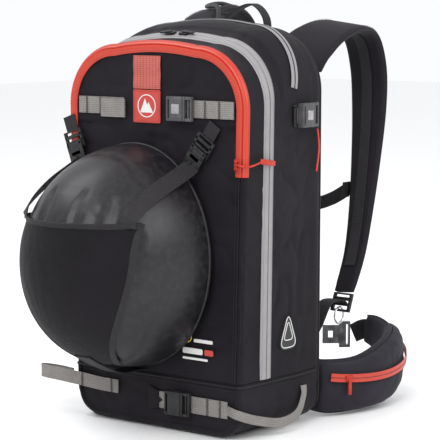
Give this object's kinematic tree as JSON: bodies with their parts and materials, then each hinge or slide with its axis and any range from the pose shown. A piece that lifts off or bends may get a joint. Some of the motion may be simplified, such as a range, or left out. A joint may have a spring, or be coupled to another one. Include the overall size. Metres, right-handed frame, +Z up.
{
  "type": "avalanche airbag backpack",
  "caption": "Avalanche airbag backpack with a helmet net, clamshell front panel, webbing straps and buckles, shoulder and hip harness, trigger handle and gas-fired airbag inside.",
  "frame": {"origin": "middle of the flat base panel's underside, which the bag stands on", "axes": "+Z up, -Y out of the bag's outer face, +Y towards the wearer, +X towards the wearer's right"},
  "size_m": [0.3794, 0.5932, 0.5519],
  "materials": {
    "shell_fabric": "matte",
    "boot_fabric": "matte",
    "belt_fabric": "matte",
    "pad_foam": "matte",
    "zip_red": "satin",
    "zip_grey": "satin",
    "webbing_grey": "matte",
    "webbing_black": "matte",
    "net_black": "matte",
    "label_red": "matte",
    "airbag_red": "satin",
    "patch_grey": "matte",
    "plastic_black": "matte",
    "plastic_grey": "satin",
    "plastic_red": "satin",
    "frame_plastic": "satin",
    "helmet_plastic": "satin",
    "helmet_foam": "matte",
    "cable_housing": "satin",
    "alloy": "satin",
    "cylinder_paint": "satin",
    "steel": "polished"
  },
  "bodies": {
    "bag": {"base_panel": "boot_fabric", "base_boot": "boot_fabric", "side_gussets": "shell_fabric", "top_gusset": "shell_fabric", "back_wall": "shell_fabric", "back_pad": "pad_foam", "lumbar_pad": "pad_foam", "frame_sheet": "frame_plastic", "airbag_roll": "airbag_red", "inlet_venturi": "plastic_black", "valve_head": "alloy", "trigger_cable": "cable_housing", "main_zip_rear": "zip_grey", "airbag_zip": "zip_grey", "shoulder_straps": "shell_fabric", "strap_adjusters": "plastic_black", "lower_webbing": "webbing_black", "bag_straps": "webbing_grey", "buckle_sockets": "plastic_grey", "side_cord": "zip_red", "side_patch": "patch_grey", "ski_loop": "webbing_grey", "tool_loop": "webbing_grey", "haul_loop": "webbing_black"},
    "front_panel": {"front_face": "shell_fabric", "front_gusset": "shell_fabric", "pocket_divider": "shell_fabric", "pocket_zip": "zip_red", "main_zip_front": "zip_grey", "upper_straps": "webbing_grey", "front_labels": "label_red", "upper_buckle_socket": "plastic_grey", "net_anchors": "plastic_black"},
    "helmet_carrier": {"helmet_shell": "helmet_plastic", "helmet_liner": "helmet_foam", "helmet_net": "net_black", "net_straps": "webbing_black", "net_hooks": "plastic_black"},
    "sternum": {"sternum_strap": "webbing_black", "sternum_buckle_socket": "plastic_black"},
    "hip_right": {"hip_wing_right": "belt_fabric", "hip_pocket": "belt_fabric", "hip_zip": "zip_red", "belt_buckle_plug": "alloy"},
    "hip_left": {"hip_wing_left": "belt_fabric", "belt_buckle_socket": "alloy"},
    "pocket_zip_slider": {"pocket_zip_slider": "plastic_red"},
    "pocket_zip_pull": {"pocket_zip_pull": "plastic_red"},
    "upper_buckle_plug": {"upper_buckle_plug": "plastic_grey"},
    "side_buckle_plug_right": {"side_buckle_plug_right": "plastic_grey"},
    "side_buckle_plug_left": {"side_buckle_plug_left": "plastic_grey"},
    "lower_buckle_plug": {"lower_buckle_plug": "plastic_black"},
    "main_zip_slider_right": {"main_zip_slider_right": "plastic_black"},
    "main_zip_slider_left": {"main_zip_slider_left": "plastic_black"},
    "airbag_zip_pull": {"airbag_zip_pull": "plastic_black"},
    "trigger_handle": {"trigger_handle": "plastic_red"},
    "firing_lever": {"firing_lever": "alloy"},
    "gas_cartridge": {"gas_cartridge": "cylinder_paint"},
    "sternum_buckle_plug": {"sternum_buckle_plug": "plastic_black"},
    "leg_ring": {"leg_ring": "steel"}
  },
  "joints": [
    {"name": "front_panel_open", "type": "hinge", "parent": "bag", "child": "front_panel", "pos_m": [0, -0.085, 0.0742], "axis": [1, 0, 0], "range_deg": [0, 30]},
    {"name": "pocket_zip_run", "type": "slide", "parent": "front_panel", "child": "pocket_zip_slider", "axis": [0, 0, 1], "range_m": [-0.008, 0.068]},
    {"name": "pocket_pull_swing", "type": "hinge", "parent": "pocket_zip_slider", "child": "pocket_zip_pull", "pos_m": [0.1341, -0.0929, 0.352], "axis": [0, 0, -1], "range_deg": [0, 80]},
    {"name": "upper_buckle_release", "type": "slide", "parent": "front_panel", "child": "upper_buckle_plug", "axis": [1, 0, 0], "range_m": [0, 0.024]},
    {"name": "net_fold_down", "type": "hinge", "parent": "front_panel", "child": "helmet_carrier", "pos_m": [-0.024, -0.087, 0.078], "axis": [1, 0, 0], "range_deg": [0, 18]},
    {"name": "side_buckle_right_release", "type": "slide", "parent": "bag", "child": "side_buckle_plug_right", "axis": [0, 1, 0], "range_m": [0, 0.02]},
    {"name": "side_buckle_left_release", "type": "slide", "parent": "bag", "child": "side_buckle_plug_left", "axis": [0, 1, 0], "range_m": [0, 0.02]},
    {"name": "lower_buckle_release", "type": "slide", "parent": "bag", "child": "lower_buckle_plug", "axis": [1, 0, 0], "range_m": [0, 0.024]},
    {"name": "main_zip_right_run", "type": "slide", "parent": "bag", "child": "main_zip_slider_right", "axis": [0.9959, 0, -0.0909], "range_m": [0, 0.036]},
    {"name": "main_zip_left_run", "type": "slide", "parent": "bag", "child": "main_zip_slider_left", "axis": [-0.9959, 0, -0.0909], "range_m": [0, 0.036]},
    {"name": "airbag_pull_swing", "type": "hinge", "parent": "bag", "child": "airbag_zip_pull", "pos_m": [0.1483, 0.015, 0.42], "axis": [0, -1, 0], "range_deg": [0, 80]},
    {"name": "trigger_pull", "type": "slide", "parent": "bag", "child": "trigger_handle", "axis": [0, 0, -1], "range_m": [0, 0.05]},
    {"name": "firing_lever_turn", "type": "hinge", "parent": "bag", "child": "firing_lever", "pos_m": [-0.098, 0.0205, 0.348], "axis": [0, -1, 0], "range_deg": [0, 45]},
    {"name": "cartridge_screw", "type": "hinge", "parent": "bag", "child": "gas_cartridge", "pos_m": [-0.109, 0.0445, 0.331], "axis": [0, 0, 1], "continuous": true},
    {"name": "sternum_height", "type": "slide", "parent": "bag", "child": "sternum", "axis": [0.0353, -0.2231, -0.9742], "range_m": [-0.003, 0.02]},
    {"name": "sternum_release", "type": "slide", "parent": "sternum", "child": "sternum_buckle_plug", "axis": [1, 0, 0], "range_m": [0, 0.018]},
    {"name": "hip_right_swing", "type": "hinge", "parent": "bag", "child": "hip_right", "pos_m": [0.11036, 0.094, 0.04], "axis": [0, 0, -1], "range_deg": [0, 24]},
    {"name": "hip_left_swing", "type": "hinge", "parent": "bag", "child": "hip_left", "pos_m": [-0.11036, 0.094, 0.04], "axis": [0, 0, 1], "range_deg": [0, 24]},
    {"name": "leg_ring_swing", "type": "hinge", "parent": "bag", "child": "leg_ring", "pos_m": [0.1142, 0.1784, 0.1362], "axis": [1, 0, 0], "range_deg": [-8, 8]}
  ],
  "couplings": [
    {"joint": "firing_lever_turn", "follows": "trigger_pull", "rad_per_m": 15}
  ]
}
